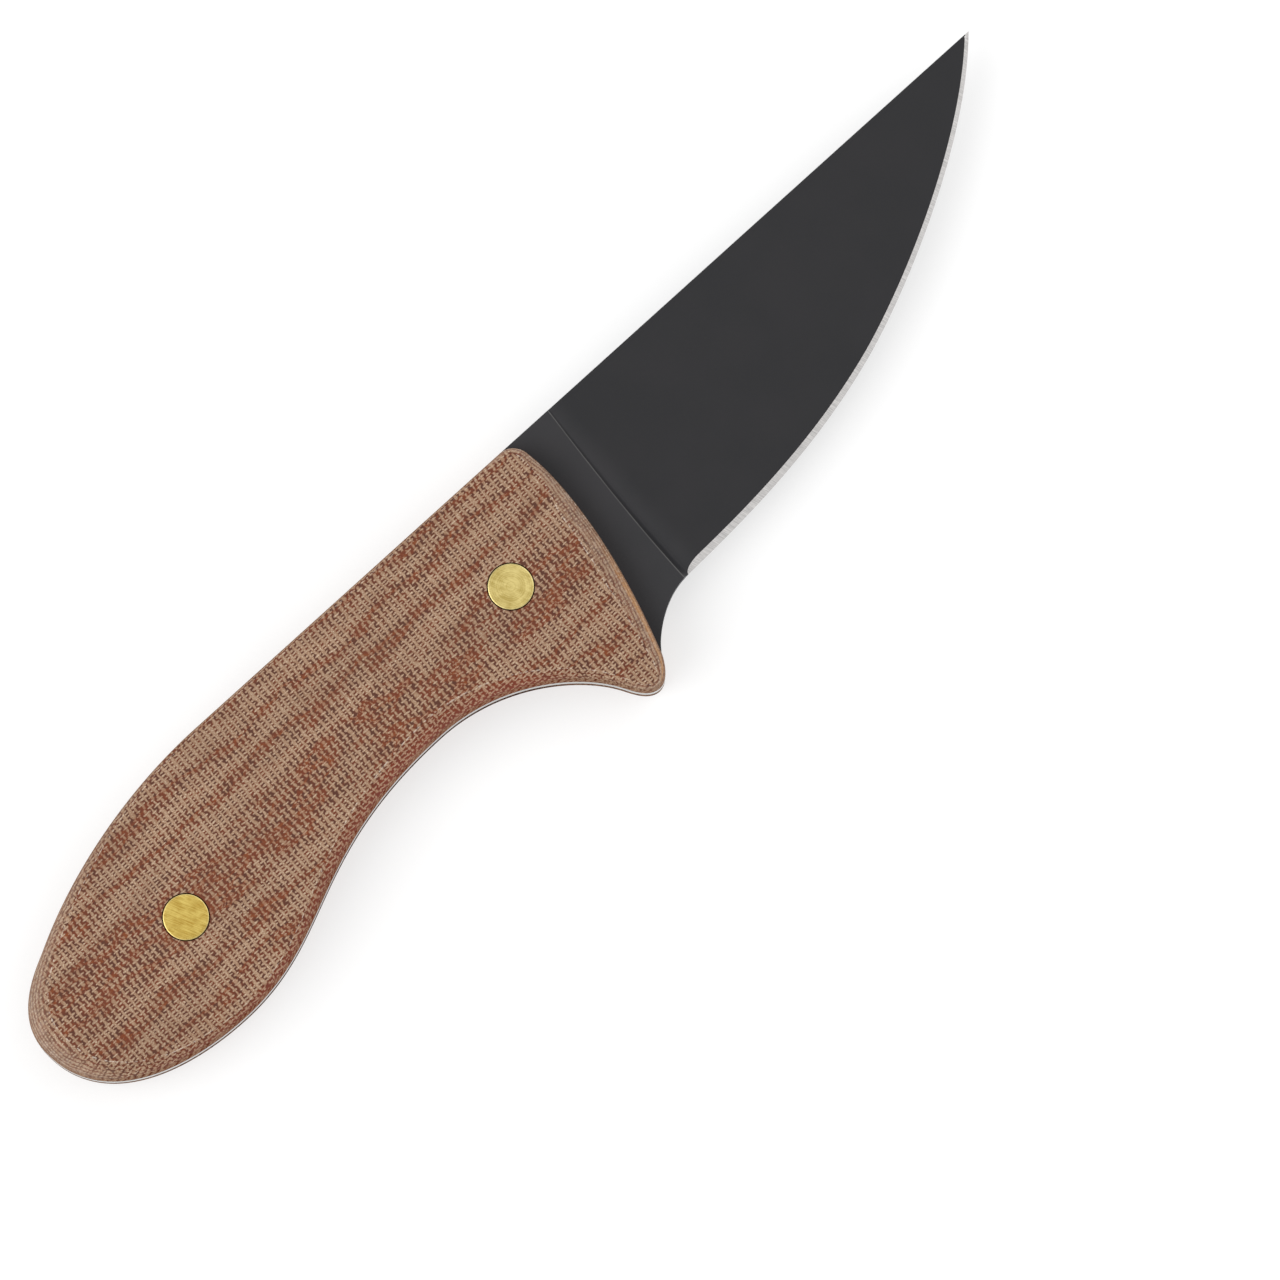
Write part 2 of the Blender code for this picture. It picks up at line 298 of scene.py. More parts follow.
def blade_columns():
    """Where the columns of the steel's mesh stand, with the spine's and the edge's height there."""
    top = sampled([TIP, *HANDLE[:3]], STEEL_SPACING, False)[::-1]
    bottom = sampled([*HANDLE[2:], GUARD_AT_CHOIL, *EDGE], STEEL_SPACING, False)
    top[:, 0] = np.maximum.accumulate(top[:, 0])
    bottom[:, 0] = np.maximum.accumulate(bottom[:, 0])
    plunge = np.arange(*PLUNGE_SPAN, PLUNGE_SPACING)
    steep_butt = top[top[:, 0] < BUTT_SPAN, 0]
    last = -0.02
    wanted = np.unique(np.concatenate((bottom[:, 0], steep_butt, plunge, [last])))
    wanted = wanted[(wanted > -LENGTH + 0.004) & (wanted <= last)]
    keep = [wanted[0]]
    for x in wanted[1:]:
        in_end_of_butt = x < -LENGTH + BUTT_END
        if x - keep[-1] > LEAST_SPACING or in_end_of_butt:
            keep.append(x)
    return np.array(keep), top, bottom


def plunge_line(y):
    """Where the grind starts at height y."""
    share = np.clip(y / HEEL[1].y, 0, 1)
    return PLUNGE_AT_SPINE - PLUNGE_SWEEP * np.sin(share * math.pi / 2)


def bevel_width(x):
    """Height of the ground edge bevel, which runs in from nothing at the heel."""
    slope = np.interp(x, *zip(*EDGE_SLOPE))
    full = BEVEL_WIDTH_AT_TIP + (BEVEL_WIDTH_AT_HEEL - BEVEL_WIDTH_AT_TIP) * x / BEVEL_START
    run_in = np.clip((x - BEVEL_START) / BEVEL_RUN_IN, 0, 1)
    return full * np.sqrt(1 + slope**2) * np.sqrt(1 - (1 - run_in) ** 2)


def steel_half_thickness(x, y, shoulder):
    """Half thickness of the steel above the edge bevel: flat tang, plunge, then the flat grind."""
    heel_shoulder = HEEL[1].y + BEVEL_WIDTH_AT_HEEL
    slope = (HALF_TANG - SPINE_RELIEF - SHOULDER_HALF_THICKNESS) / -heel_shoulder
    ground = SHOULDER_HALF_THICKNESS + slope * np.maximum(y - shoulder, 0)
    share = np.clip(y / HEEL[1].y, 0, 1)
    width = PLUNGE_WIDTH_AT_SPINE + (PLUNGE_WIDTH_AT_HEEL - PLUNGE_WIDTH_AT_SPINE) * share
    reach = np.clip((x - plunge_line(y)) / width, 0, 1)
    crest = reach**2 / PLUNGE_CREST
    hollow = 1 - (1 - reach) ** 2 / (1 - PLUNGE_CREST)
    fall = np.where(reach < PLUNGE_CREST, crest, hollow)
    return HALF_TANG - (HALF_TANG - ground) * fall


def blade_surface():
    """One side of the steel as a grid: x, y and half thickness, by column and by row from the spine."""
    columns, top, bottom = blade_columns()
    across = np.linspace(0, 1, STEEL_ROWS)
    lean = np.interp(columns, SWEPT_COLUMNS, (0, 1, 1, 0))
    swept = -PLUNGE_SWEEP * np.sin(np.concatenate(([0], across, [1])) * math.pi / 2)
    x = columns[:, None] + lean[:, None] * swept[None, :]
    spine = np.interp(x, top[:, 0], top[:, 1])
    edge = np.interp(x, bottom[:, 0], bottom[:, 1])
    height = spine - edge

    taken = np.where(x > SCALES_END, SPINE_BREAK, TANG_SPINE_BREAK)
    taken = np.minimum(taken, height * 0.2)  # less at the tip, where the blade is narrow
    bevel = np.maximum(bevel_width(x), EDGE_BREAK)
    bevel = np.minimum(bevel, height * 0.75)
    shoulder = edge + bevel
    y = np.empty_like(x)
    y[:, 0] = spine[:, 0]
    y[:, 1:-1] = (spine - taken)[:, 1:-1] * (1 - across) + shoulder[:, 1:-1] * across
    y[:, -1] = edge[:, -1]

    z = steel_half_thickness(x, y, shoulder)
    z[:, 0] = z[:, 1] - taken[:, 0]
    sharpness = np.clip(bevel_width(x[:, -1]) / 0.8, 0, 1)
    z[:, -1] = (z[:, -2] - EDGE_BREAK) * (1 - sharpness) + EDGE_HALF_THICKNESS * sharpness
    return x, y, np.maximum(z, EDGE_HALF_THICKNESS)


def blade_mesh():
    """The whole steel piece, both sides and the wall round them."""
    x, y, z = blade_surface()
    columns, rows = x.shape
    side = columns * rows
    right = np.column_stack((x.ravel(), y.ravel(), z.ravel()))
    points = np.vstack((right, right * (1, 1, -1)))
    number = np.arange(side).reshape(columns, rows)
    faces = []
    for c in range(columns - 1):
        faces += strip(number[c], number[c + 1], False)
        faces += strip(number[c] + side, number[c + 1] + side, False)
    around = np.concatenate((number[:, 0], number[-1, 1:], number[-2::-1, -1], number[0, -2:0:-1]))
    faces += strip(around, around + side, True)
    return bored(closed_mesh("blade_steel", points.tolist(), plain(faces), 32))


def bored(mesh):
    """The mesh with a clear hole through it for each bolt's barrel."""
    piece = bpy.data.objects.new("bored", mesh)
    bpy.context.scene.collection.objects.link(piece)
    cutters = []
    for x, y in BOLTS.values():
        body = bmesh.new()
        bmesh.ops.create_cone(
            body,
            cap_ends=True,
            segments=64,
            radius1=(BARREL_RADIUS + GAP) * MM,
            radius2=(BARREL_RADIUS + GAP) * MM,
            depth=4 * HALF_TANG * MM,
        )
        cutter_mesh = bpy.data.meshes.new("bore")
        body.to_mesh(cutter_mesh)
        body.free()
        cutter = bpy.data.objects.new("bore", cutter_mesh)
        cutter.location = world([(x, y, 0)])[0]
        bpy.context.scene.collection.objects.link(cutter)
        boolean = piece.modifiers.new("bore", "BOOLEAN")
        boolean.solver = "EXACT"
        boolean.object = cutter
        cutters.append(cutter)
    evaluated = piece.evaluated_get(bpy.context.evaluated_depsgraph_get())
    made = bpy.data.meshes.new_from_object(evaluated)
    for leftover in (piece, *cutters):
        bpy.data.objects.remove(leftover)
    made.name = "blade_steel"
    return made


def finish_blade(mesh):
    """Gives each face of the steel its finish, with a crisp line where two finishes meet."""
    coated, ground, bare = 0, 1, 2
    for face in mesh.polygons:
        spot = (face.center - ORIGIN) / MM
        wall = abs(face.normal.z) < 0.5
        on_bevel = spot.x > BEVEL_START and spot.y < edge_height(spot.x) + bevel_width(spot.x)
        bare_to = BARE_TO_AT_SPINE if spot.y > GUARD_AT_CHOIL[1].y / 2 else BARE_TO_AT_GUARD
        if on_bevel:
            face.material_index = ground
        elif wall and spot.x < bare_to:
            face.material_index = bare
        else:
            face.material_index = coated
    finishes = {}
    for face in mesh.polygons:
        for key in face.edge_keys:
            finishes.setdefault(key, set()).add(face.material_index)
    for edge in mesh.edges:
        if len(finishes[edge.key]) > 1:
            edge.use_edge_sharp = True


def edge_height(x):
    """Height of the cutting edge at x."""
    return np.interp(x, EDGE_PATH[:, 0], EDGE_PATH[:, 1])


# --- Scales ---------------------------------------------------------------------------------------


def crown_drop(y):
    """How far a scale's crowned outer face lies below its highest line."""
    beyond = np.maximum(np.abs(y - CROWN_MIDDLE) - CROWN_FLAT_HALF, 0)
    return CROWN_FALL * (np.sqrt(beyond**2 + CROWN_BLEND**2) - CROWN_BLEND)


def rounding_widths(outline):
    """How far in the rim is rounded at each point of the outline."""
    steps = np.linalg.norm(np.roll(outline, -1, axis=0) - outline, axis=1)
    along = np.concatenate(([0], np.cumsum(steps)[:-1]))
    known = []
    for x, y, width in ROUNDING:
        nearest = np.argmin(np.hypot(outline[:, 0] - x, outline[:, 1] - y))
        known.append((along[nearest], width))
    known.sort()
    places, widths = np.array(known).T
    widths = np.interp(along, places, widths, period=steps.sum())
    blur = np.hanning(13) / np.hanning(13).sum()
    return np.convolve(np.tile(widths, 3), blur, "same")[len(widths) : 2 * len(widths)]


def inward_normals(outline):
    """Unit vectors into the scale at each point of its outline, which runs anticlockwise."""
    tangent = np.roll(outline, -1, axis=0) - np.roll(outline, 1, axis=0)
    normal = np.column_stack((-tangent[:, 1], tangent[:, 0]))
    normal /= np.linalg.norm(normal, axis=1)[:, None]
    turned = np.vstack((normal[-4:], normal, normal[:4]))
    blur = np.array((1, 2, 3, 4, 5, 4, 3, 2, 1)) / 25
    eased = np.column_stack([np.convolve(turned[:, k], blur, "valid") for k in (0, 1)])
    return eased / np.linalg.norm(eased, axis=1)[:, None]


def rim_rings(outline, lean):
    """Rings of points from the scale's wall up over its rounded rim to just inside the crease."""
    widths = rounding_widths(outline)
    inward = inward_normals(outline)
    radius = widths / (math.sin(ROUNDING_AT_RIM) - math.sin(ROUNDING_AT_CREASE))
    drop = radius * (math.cos(ROUNDING_AT_CREASE) - math.cos(ROUNDING_AT_RIM))
    inset = (OUTSIDE - HALF_TANG - drop) * lean
    crease = outline + inward * (inset + widths)[:, None]
    level = OUTSIDE - crown_drop(crease[:, 1])
    rings = []
    for slope in np.linspace(ROUNDING_AT_RIM, ROUNDING_AT_CREASE, RIM_STEPS):
        reach = inset + widths - radius * (math.sin(slope) - math.sin(ROUNDING_AT_CREASE))
        fall = radius * (math.cos(ROUNDING_AT_CREASE) - math.cos(slope))
        rings.append(np.column_stack((outline + inward * reach[:, None], level - fall)))
    for past in PAST_CREASE:
        flat = outline + inward * (inset + widths + past)[:, None]
        rings.append(np.column_stack((flat, OUTSIDE - crown_drop(flat[:, 1]))))
    return rings


def circle(centre, radius, count):
    """A ring of points about a centre, anticlockwise."""
    angle = np.arange(count) * 2 * math.pi / count
    return np.column_stack((centre[0] + radius * np.cos(angle), centre[1] + radius * np.sin(angle)))


def inside(points, loop):
    """Which of the points lie inside the loop."""
    x, y = points[:, :1], points[:, 1:]
    after = np.roll(loop, -1, axis=0)
    crosses = (loop[:, 1] > y) != (after[:, 1] > y)
    rise = np.where(after[:, 1] == loop[:, 1], 1, after[:, 1] - loop[:, 1])
    meets = loop[:, 0] + (y - loop[:, 1]) / rise * (after[:, 0] - loop[:, 0])
    return (crosses & (x < meets)).sum(axis=1) % 2 == 1


def filled(loop, holes, spacing):
    """Triangles that fill the loop but for the holes, over its own points, the holes' and a lattice."""
    given = [loop, *holes]
    if spacing:
        low, high = loop.min(axis=0), loop.max(axis=0)
        xs = np.arange(low[0], high[0], spacing)
        ys = np.arange(low[1], high[1], spacing * 0.866)
        grid = np.array([(x + spacing / 2 * (k % 2), y) for k, y in enumerate(ys) for x in xs])
        grid = grid[inside(grid, loop)]
        fixed = np.vstack(given)
        for start in range(0, len(fixed), 100):
            part = fixed[start : start + 100]
            gaps = np.hypot(grid[:, :1] - part[:, 0], grid[:, 1:] - part[:, 1])
            grid = grid[gaps.min(axis=1) > spacing * 0.55]
        for hole in holes:
            grid = grid[~inside(grid, hole)]
        given.append(grid)
    points = np.vstack(given)
    edges = []
    first = 0
    for ring in (loop, *holes):
        edges += [(first + k, first + (k + 1) % len(ring)) for k in range(len(ring))]
        first += len(ring)
    made = delaunay_2d_cdt([Vector(point) for point in points], edges, [], 1, 1e-6)
    source = [origins[0] for origins in made[3]]
    faces = np.array([[source[v] for v in face] for face in made[2]])
    middles = points[faces].mean(axis=1)
    for hole in holes:
        in_hole = inside(middles, hole)
        faces, middles = faces[~in_hole], middles[~in_hole]
    return points, faces


def scale_mesh(name, side):
    """One handle slab, with counterbored holes for the bolts. side is 1 for the right scale."""
    outline = sampled(SCALE_OUTLINE, OUTLINE_SPACING, True)
    rings = rim_rings(outline, WALL_LEAN[side])
    count = len(outline)
    base = HALF_TANG + GLUE_LINE
    low = np.column_stack((outline, np.full(count, base)))
    stack = [low * (1 - share) + rings[0] * share for share in WALL_RINGS] + rings
    points = list(np.vstack(stack))
    faces = []
    for level in range(len(stack) - 1):
        below = np.arange(count) + level * count
        faces += strip(below, below + count, True)

    wide = BOLT_RADIUS + BOLT_CLEARANCE
    mouths = [circle(centre, wide, HOLE_SEGMENTS) for centre in BOLTS.values()]
    face_points, face_faces = filled(rings[-1][:, :2], mouths, FACE_SPACING)
    first_on_face = len(points) - count
    added = face_points[count:]
    points += list(np.column_stack((added, OUTSIDE - crown_drop(added[:, 1]))))
    faces += (face_faces + first_on_face).tolist()

    narrow = BARREL_RADIUS + GAP
    exits = [circle(centre, narrow, HOLE_SEGMENTS) for centre in BOLTS.values()]
    base_points, base_faces = filled(outline, exits, 0)
    number = np.arange(len(base_points))
    number[count:] += len(points) - count
    added = base_points[count:]
    points += list(np.column_stack((added, np.full(len(added), base))))
    faces += number[base_faces].tolist()

    seat = OUTSIDE - BOLT_HEAD_LENGTH - GAP
    around = np.arange(HOLE_SEGMENTS)
    for k, (mouth, exit_hole) in enumerate(zip(mouths, exits)):
        mouth_ring = first_on_face + count + HOLE_SEGMENTS * k + around
        exit_ring = number[count + HOLE_SEGMENTS * k + around]
        wide_seat = len(points) + around
        narrow_seat = wide_seat + HOLE_SEGMENTS
        for ring in (mouth, exit_hole):
            points += list(np.column_stack((ring, np.full(HOLE_SEGMENTS, seat))))
        faces += strip(mouth_ring, wide_seat, True)
        faces += strip(wide_seat, narrow_seat, True)
        faces += strip(narrow_seat, exit_ring, True)

    points = np.array(points) * (1, 1, side)
    mesh = closed_mesh(name, points.tolist(), plain(faces), 35)
    finish_scale(mesh, points, count)
    return mesh


def finish_scale(mesh, points, count):
    """Stores how the rim and wall are finished, on rings of count points, and marks the wall's faces."""
    rim = len(WALL_RINGS) * count
    crease = (len(WALL_RINGS) + RIM_STEPS - 1) * count
    on_rim = slice(rim, rim + count)
    on_crease = slice(crease, crease + count)
    up_to_crease = slice(crease)

    # The crease is pale with wear all round, partly painted highlight, and the rim gets a painted highlight
    # line only at the front
    wear_and_highlight = np.zeros(len(points))
    wear_and_highlight[on_crease] = 1
    at_front = points[on_rim, 0] > HIGHLIGHT_FROM
    wear_and_highlight[on_rim] = np.interp(points[on_rim, 1], *zip(*FRONT_HIGHLIGHT)) * at_front

    buffed_and_lit = np.zeros(len(points))
    x, y, _ = points[up_to_crease].T
    palm = np.interp(x, *zip(*PALM_BUFFING_AND_LIGHT))
    spine = np.interp(x, *zip(*SPINE_BUFFING_AND_LIGHT))
    fading = np.sqrt(np.linspace(1, 0, RIM_STEPS - 1, endpoint=False))
    shares = np.concatenate(([WALL_SHARE] * len(WALL_RINGS), fading))
    buffed_and_lit[up_to_crease] = np.where(y < CROWN_MIDDLE, palm, spine) * np.repeat(shares, count)

    amber = np.zeros(len(points))
    gilt = slice(rim, rim + 3 * count)
    amber[gilt] = np.interp(points[gilt, 1], *zip(*FRONT_AMBER))
    amber *= points[:, 0] > AMBER_FROM

    for label, values in (("wear_and_highlight", wear_and_highlight), ("buffed_and_lit", buffed_and_lit), ("amber", amber)):
        mesh.attributes.new(label, "FLOAT", "POINT").data.foreach_set("value", values)
    for face in mesh.polygons:
        face.material_index = 1 if abs(face.normal.z) < 0.3 else 0


# --- Bolts ----------------------------------------------------------------------------------------


def head_rings(centre):
    """The bolt's head from its middle out: flush with the crown, with its rim broken."""
    rings = [np.array([(*centre, OUTSIDE - crown_drop(centre[1]))])]
    profile = [(BOLT_RADIUS * share, 0) for share in (0.2, 0.4, 0.6, 0.8, 0.93)]
    profile += [(BOLT_RADIUS - 0.12, 0), (BOLT_RADIUS - 0.04, 0.03), (BOLT_RADIUS, 0.11)]
    for radius, below in profile:
        ring = circle(centre, radius, BOLT_SEGMENTS)
        rings.append(np.column_stack((ring, OUTSIDE - crown_drop(ring[:, 1]) - below)))
    return rings


def turned_mesh(name, centre, shank, side):
    """A bolt half about its axis: the head, then the shank's rings of a radius at a height."""
    rings = head_rings(centre)
    for radius, height in shank:
        ring = circle(centre, radius, BOLT_SEGMENTS)
        rings.append(np.column_stack((ring, np.full(BOLT_SEGMENTS, height))))
    end_height = shank[-1][1]
    rings.append(np.array([(*centre, end_height)]))
    starts = np.concatenate(([0], np.cumsum([len(ring) for ring in rings])))
    faces = []
    for k in range(len(rings) - 1):
        one = np.arange(starts[k], starts[k + 1])
        two = np.arange(starts[k + 1], starts[k + 2])
        if len(one) == 1:
            faces += fan(one[0], two)
        elif len(two) == 1:
            faces += fan(two[0], one)
        else:
            faces += strip(one, two, True)
    points = np.vstack(rings) * (1, 1, side)
    return closed_mesh(name, points.tolist(), plain(faces), 30)


def fan(middle, ring):
    """Triangles from a middle vertex to a closed ring of vertices."""
    return [(middle, ring[k], ring[(k + 1) % len(ring)]) for k in range(len(ring))]


def stud_shank():
    """Below the seen head: its cylinder and the threaded stud."""
    seat = OUTSIDE - BOLT_HEAD_LENGTH
    end = seat - STUD_REACH
    rings = [(BOLT_RADIUS, seat), (STUD_RADIUS, seat)]
    level = seat - 0.8
    while level > end + 0.8:
        rings += [(STUD_RADIUS, level), (STUD_RADIUS - THREAD_DEPTH, level - THREAD_PITCH / 2)]
        level -= THREAD_PITCH
    return [*rings, (STUD_RADIUS, level), (STUD_RADIUS - 0.3, end)]


def barrel_shank():
    """Below the other head: its cylinder and the tapped barrel, with heights from its own side."""
    seat = OUTSIDE - BOLT_HEAD_LENGTH
    mouth = -(seat - GAP)
    return [
        (BOLT_RADIUS, seat),
        (BARREL_RADIUS, seat),
        (BARREL_RADIUS, mouth + 0.2),
        (BARREL_RADIUS - 0.2, mouth),
        (THREAD_RADIUS, mouth),
        (THREAD_RADIUS, mouth + BORE_REACH),
    ]


# --- Material helpers -----------------------------------------------------------------------------


class Field:
    """A value that varies through a material, built up by arithmetic from math nodes."""

    def __init__(self, tree, socket):
        self.tree = tree
        self.socket = socket

    def math(self, operation, *others):
        """The result of a math node on this value and the others."""
        node = self.tree.nodes.new("ShaderNodeMath")
        node.operation = operation
        for socket, value in zip(node.inputs, (self, *others)):
            feed(self.tree, socket, value)
        return Field(self.tree, node.outputs[0])

    def __add__(self, other):
        return self.math("ADD", other)

    def __sub__(self, other):
        return self.math("SUBTRACT", other)

    def __mul__(self, other):
        return self.math("MULTIPLY", other)

    def __truediv__(self, other):
        return self.math("DIVIDE", other)

    def __neg__(self):
        return self * -1

    def squared(self):
        return self * self

    def size(self):
        """The value without its sign."""
        return self.math("ABSOLUTE")

    def whole(self):
        return self.math("FLOOR")

    def nearest(self):
        return self.math("ROUND")

    def cosine(self):
        return self.math("COSINE")

    def larger(self, other):
        return self.math("MAXIMUM", other)

    def ramp(self, low, high):
        """0 below low and 1 above high, easing between them."""
        node = self.tree.nodes.new("ShaderNodeMapRange")
        node.interpolation_type = "SMOOTHSTEP"
        for name, value in (("Value", self), ("From Min", low), ("From Max", high)):
            feed(self.tree, node.inputs[name], value)
        return Field(self.tree, node.outputs["Result"])


def feed(tree, socket, value):
    """Links a field to a socket, or sets the socket to a plain value."""
    if isinstance(value, Field):
        tree.links.new(value.socket, socket)
    else:
        socket.default_value = value


def triple(x, y, z):
    """Three fields as one vector."""
    tree = next(part.tree for part in (x, y, z) if isinstance(part, Field))
    node = tree.nodes.new("ShaderNodeCombineXYZ")
    for socket, value in zip(node.inputs, (x, y, z)):
        feed(tree, socket, value)
    return Field(tree, node.outputs[0])


def noise(place, detail=1.0, roughness=0.5):
    """Soft noise at a place, centred on 0, with features about one unit across."""
    node = place.tree.nodes.new("ShaderNodeTexNoise")
    feed(place.tree, node.inputs["Vector"], place)
    node.inputs["Scale"].default_value = 1.0
    node.inputs["Detail"].default_value = detail
    node.inputs["Roughness"].default_value = roughness
    return Field(place.tree, node.outputs["Fac"]) - 0.5


def chance(number, seed):
    """A random value from 0 to 1 for each whole number."""
    node = number.tree.nodes.new("ShaderNodeTexWhiteNoise")
    node.noise_dimensions = "1D"
    feed(number.tree, node.inputs["W"], number + seed)
    return Field(number.tree, node.outputs["Value"])


def blend(share, one, two):
    """Colour one turning into colour two as share goes from 0 to 1."""
    node = share.tree.nodes.new("ShaderNodeMix")
    node.data_type = "RGBA"
    feed(share.tree, node.inputs["Factor"], share)
    for socket, colour in ((node.inputs[6], one), (node.inputs[7], two)):
        feed(share.tree, socket, colour if isinstance(colour, Field) else (*colour, 1))
    return Field(share.tree, node.outputs[2])


def attribute(tree, name):
    """A value stored on the mesh."""
    node = tree.nodes.new("ShaderNodeAttribute")
    node.attribute_name = name
    return Field(tree, node.outputs["Fac"])


def srgb(red, green, blue):
    """A screen colour, 0 to 255, as the linear light that materials take."""
    light = []
    for value in (red, green, blue):
        share = value / 255
        light.append(share / 12.92 if share < 0.04045 else ((share + 0.055) / 1.055) ** 2.4)
    return tuple(light)


def new_material(name, metallic, specular):
    """An empty finish, with the drawing-frame x, y and z of each point of its surface."""
    material = bpy.data.materials.new(name)
    material.use_nodes = True
    tree = material.node_tree
    shader = tree.nodes["Principled BSDF"]
    shader.inputs["Metallic"].default_value = metallic
    shader.inputs["Specular IOR Level"].default_value = specular
    place = tree.nodes.new("ShaderNodeTexCoord")
    parts = tree.nodes.new("ShaderNodeSeparateXYZ")
    tree.links.new(place.outputs["Object"], parts.inputs[0])
    axes = [(Field(tree, parts.outputs[k]) - ORIGIN[k]) / MM for k in range(3)]
    return material, shader, axes


def connect(shader, height, relief, **inputs):
    """Feeds the shader's inputs, and its normal from a height field that is relief mm deep."""
    tree = height.tree
    bump = tree.nodes.new("ShaderNodeBump")
    bump.inputs["Distance"].default_value = relief * MM
    feed(tree, bump.inputs["Height"], height)
    tree.links.new(bump.outputs["Normal"], shader.inputs["Normal"])
    for name, value in inputs.items():
        feed(tree, shader.inputs[name.replace("_", " ")], value)


# --- Materials ------------------------------------------------------------------------------------


def weave(x, y, z, rounded):
    """Canvas laid up in resin, at any point of the slab.

    Gives how deep inside a yarn the point is, above 0 in the upright yarns or the level ones; how much
    more it belongs to a level one; how near it is to a layer's face; and the layer's number. The layers
    ripple, less so where the surface is rounded.
    """
    depth = -z.size() + OUTSIDE
    depth = depth + noise(triple(x / 9, y / 2.5, z * 0.1), 0) * 0.36
    ripple = noise(triple(x / 2.5, y / 0.9, z * 0.3), 1) * 0.2
    ripple = ripple + noise(triple(x / 0.7, y / 0.4, z * 0.3), 1) * 0.1
    depth = depth + ripple * (rounded * -0.8 + 1)
    stacked = (depth + 0.03) / LAYER_THICKNESS
    layer = stacked.whole()
    height = (stacked - layer - 0.5) * LAYER_THICKNESS
    number = layer + z.math("SIGN") * 40

    along = x + noise(triple(x / 1.6, y / 4, number * 3.1), 1) * 0.7
    across = y + noise(triple(x / 4, y / 1.6, number * 5.3), 1) * 0.45
    along = along + noise(triple(x / 0.7, y / 0.7, number), 0) * 0.4 + chance(number, 0.5) * YARN_PITCH_X
    across = across + noise(triple(y / 0.7, x / 0.9, number), 0) * 0.2 + chance(number, 9.5) * YARN_PITCH_Y
    column = (along / YARN_PITCH_X).nearest()
    row = (across / YARN_PITCH_Y).nearest()
    from_column = along - column * YARN_PITCH_X
    from_row = across - row * YARN_PITCH_Y
    upright = ((across / YARN_PITCH_Y + column) * math.pi).cosine() * UPRIGHT_SWING
    level = ((along / YARN_PITCH_X + row) * math.pi).cosine() * -LEVEL_SWING
    upright_width = noise(triple(x / 0.5, y / 1.2, number), 1) * 0.2 + UPRIGHT_HALF_WIDTH
    level_width = noise(triple(x / 1.2, y / 0.5, number + 7), 1) * 0.12 + LEVEL_HALF_WIDTH
    upright_rise = (height - upright) / UPRIGHT_HALF_HEIGHT
    level_rise = (height - level) / LEVEL_HALF_HEIGHT
    in_upright = (from_column / upright_width).squared() + upright_rise.squared()
    in_level = (from_row / level_width).squared() + level_rise.squared()
    core = (-in_upright + 1).larger(-in_level + 1)
    nearness = height.size() / (LAYER_THICKNESS / 2)
    return core, in_upright - in_level, nearness, number


def micarta(name, specular, painted_shade):
    """Sanded canvas micarta: tan yarn ends in red-brown resin, with the layers showing as bands.

    Where buffing has left the surface pale the yarns are smeared pale along their layer's seams, and at the
    butt that pale is partly painted light; where it is wet they have taken up resin. The last argument is
    how far the whole surface is darkened with painted shade, more where it is wet and less on the yarns.
    """
    material, shader, (x, y, z) = new_material(name, 0, specular)
    buffed_and_lit = attribute(material.node_tree, "buffed_and_lit")
    dry_and_lit, wet = buffed_and_lit.ramp(0, 1), (-buffed_and_lit).ramp(0, 1)
    core, lengthwise, nearness, number = weave(x, y, z, dry_and_lit)
    film = nearness.ramp(0.78, 1.08) * (noise(triple(x / 1.2, y / 0.6, number * 4), 1) + 0.85)
    yarn = (core - wet * 0.45).ramp(-0.5, 0.38) * (-film * 0.1 + 1)
    seam = nearness.ramp(0.35, 0.7)
    yarn = yarn * (dry_and_lit * -0.8 + 1) + (-seam + 1) * dry_and_lit * 0.8
    fibre = noise(triple(x / 0.12, y / 0.12, z / 0.12), 2, 0.6)
    lumps = noise(triple(x / 0.3, y / 0.22, z / 0.3), 2, 0.6)

    resin = resin_colour(x, y, number, film, wet)
    pale = noise(triple(x / 5, y / 2, number + 3), 2)
    thread = blend(pale.ramp(-0.15, 0.15), srgb(150, 116, 90), srgb(168, 138, 112))
    # Painted highlight: the level yarns, and every yarn towards its middle, are lighter.
    thread = blend(lengthwise.ramp(0, 0.6) * 0.5, thread, srgb(208, 186, 162))
    thread = blend(core.ramp(0.3, 1) * (lumps * 2 + 0.5), thread, srgb(214, 196, 172))
    thread = blend(fibre.ramp(-0.15, 0.2), srgb(138, 104, 80), thread)
    thread = blend(wet * 0.35 + film * 0.4, thread, srgb(160, 102, 78))
    colour = blend(yarn, resin, thread)

    cloud = noise(triple(x / 14, y / 5, z / 10), 2)
    colour = blend(cloud.ramp(-0.15, 0.2) * 0.16, colour, srgb(84, 56, 42))
    # Paler where buffing has left it so. At the butt this is partly painted light on the rim that faces the
    # lamp.
    colour = blend(dry_and_lit * 0.18, colour, srgb(204, 182, 162))
    amber = attribute(material.node_tree, "amber") * (lumps * 1.5 + 0.6)
    colour = blend(amber, colour, srgb(206, 148, 84))
    # Pale flecks: wear along the crease and on the pale band, partly painted highlight, with a painted
    # highlight line on the front rim.
    wear_and_highlight = attribute(material.node_tree, "wear_and_highlight").ramp(0.3, 1) + dry_and_lit * 0.3
    flecks = wear_and_highlight * noise(triple(x / 0.5, y / 0.5, z), 2).ramp(-0.04, 0.13)
    colour = blend(flecks * 0.6, colour, srgb(222, 208, 192))
    # Painted shade: with the last argument set, the whole surface is darkened towards deep brown, more
    # where wet and less on the yarns.
    if painted_shade:
        colour = blend(wet * 0.7 - yarn * 0.3 + painted_shade, colour, srgb(46, 30, 26))

    relief = yarn * 0.7 + fibre * 0.5
    rough = yarn * 0.16 + fibre * 0.15 + 0.5
    connect(shader, relief, 0.035, Base_Color=colour, Roughness=rough)
    return material


